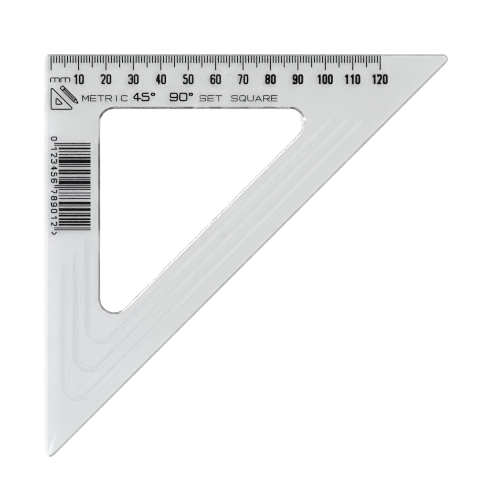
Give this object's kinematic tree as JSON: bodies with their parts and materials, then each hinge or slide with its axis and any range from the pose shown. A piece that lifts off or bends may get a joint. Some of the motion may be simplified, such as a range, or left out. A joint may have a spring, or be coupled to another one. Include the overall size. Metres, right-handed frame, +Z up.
{
  "type": "set square",
  "caption": "Clear moulded 45 degree set square with bevelled edges, a triangular opening, nested grooves and a printed millimetre scale.",
  "frame": {"origin": "centre of the bounding box in X and Y, on the surface that the square lies on", "axes": "+X along the scale edge in the direction the millimetres count, +Y towards the scale edge, +Z up out of the printed face"},
  "size_m": [0.1468, 0.1468, 0.0022],
  "materials": {
    "clear_plastic": "clear, polished, faintly grey",
    "black_ink": "thin flat print"
  },
  "bodies": {
    "root": {"graduations_0_to_9": "black_ink", "graduations_100_to_109": "black_ink", "graduations_10_to_19": "black_ink", "graduations_110_to_120": "black_ink", "graduations_20_to_29": "black_ink", "graduations_30_to_39": "black_ink", "graduations_40_to_49": "black_ink", "graduations_50_to_59": "black_ink", "graduations_60_to_69": "black_ink", "graduations_70_to_79": "black_ink", "graduations_80_to_89": "black_ink", "graduations_90_to_99": "black_ink", "numeral_100_digit_1": "black_ink", "numeral_100_digit_2": "black_ink", "numeral_100_digit_3": "black_ink", "numeral_10_digit_1": "black_ink", "numeral_10_digit_2": "black_ink", "numeral_110_digit_1": "black_ink", "numeral_110_digit_2": "black_ink", "numeral_110_digit_3": "black_ink", "numeral_120_digit_1": "black_ink", "numeral_120_digit_2": "black_ink", "numeral_120_digit_3": "black_ink", "numeral_20_digit_1": "black_ink", "numeral_20_digit_2": "black_ink", "numeral_30_digit_1": "black_ink", "numeral_30_digit_2": "black_ink", "numeral_40_digit_1": "black_ink", "numeral_40_digit_2": "black_ink", "numeral_50_digit_1": "black_ink", "numeral_50_digit_2": "black_ink", "numeral_60_digit_1": "black_ink", "numeral_60_digit_2": "black_ink", "numeral_70_digit_1": "black_ink", "numeral_70_digit_2": "black_ink", "numeral_80_digit_1": "black_ink", "numeral_80_digit_2": "black_ink", "numeral_90_digit_1": "black_ink", "numeral_90_digit_2": "black_ink", "plate": "clear_plastic", "unit_letter_1": "black_ink", "unit_letter_2": "black_ink"}
  },
  "joints": []
}
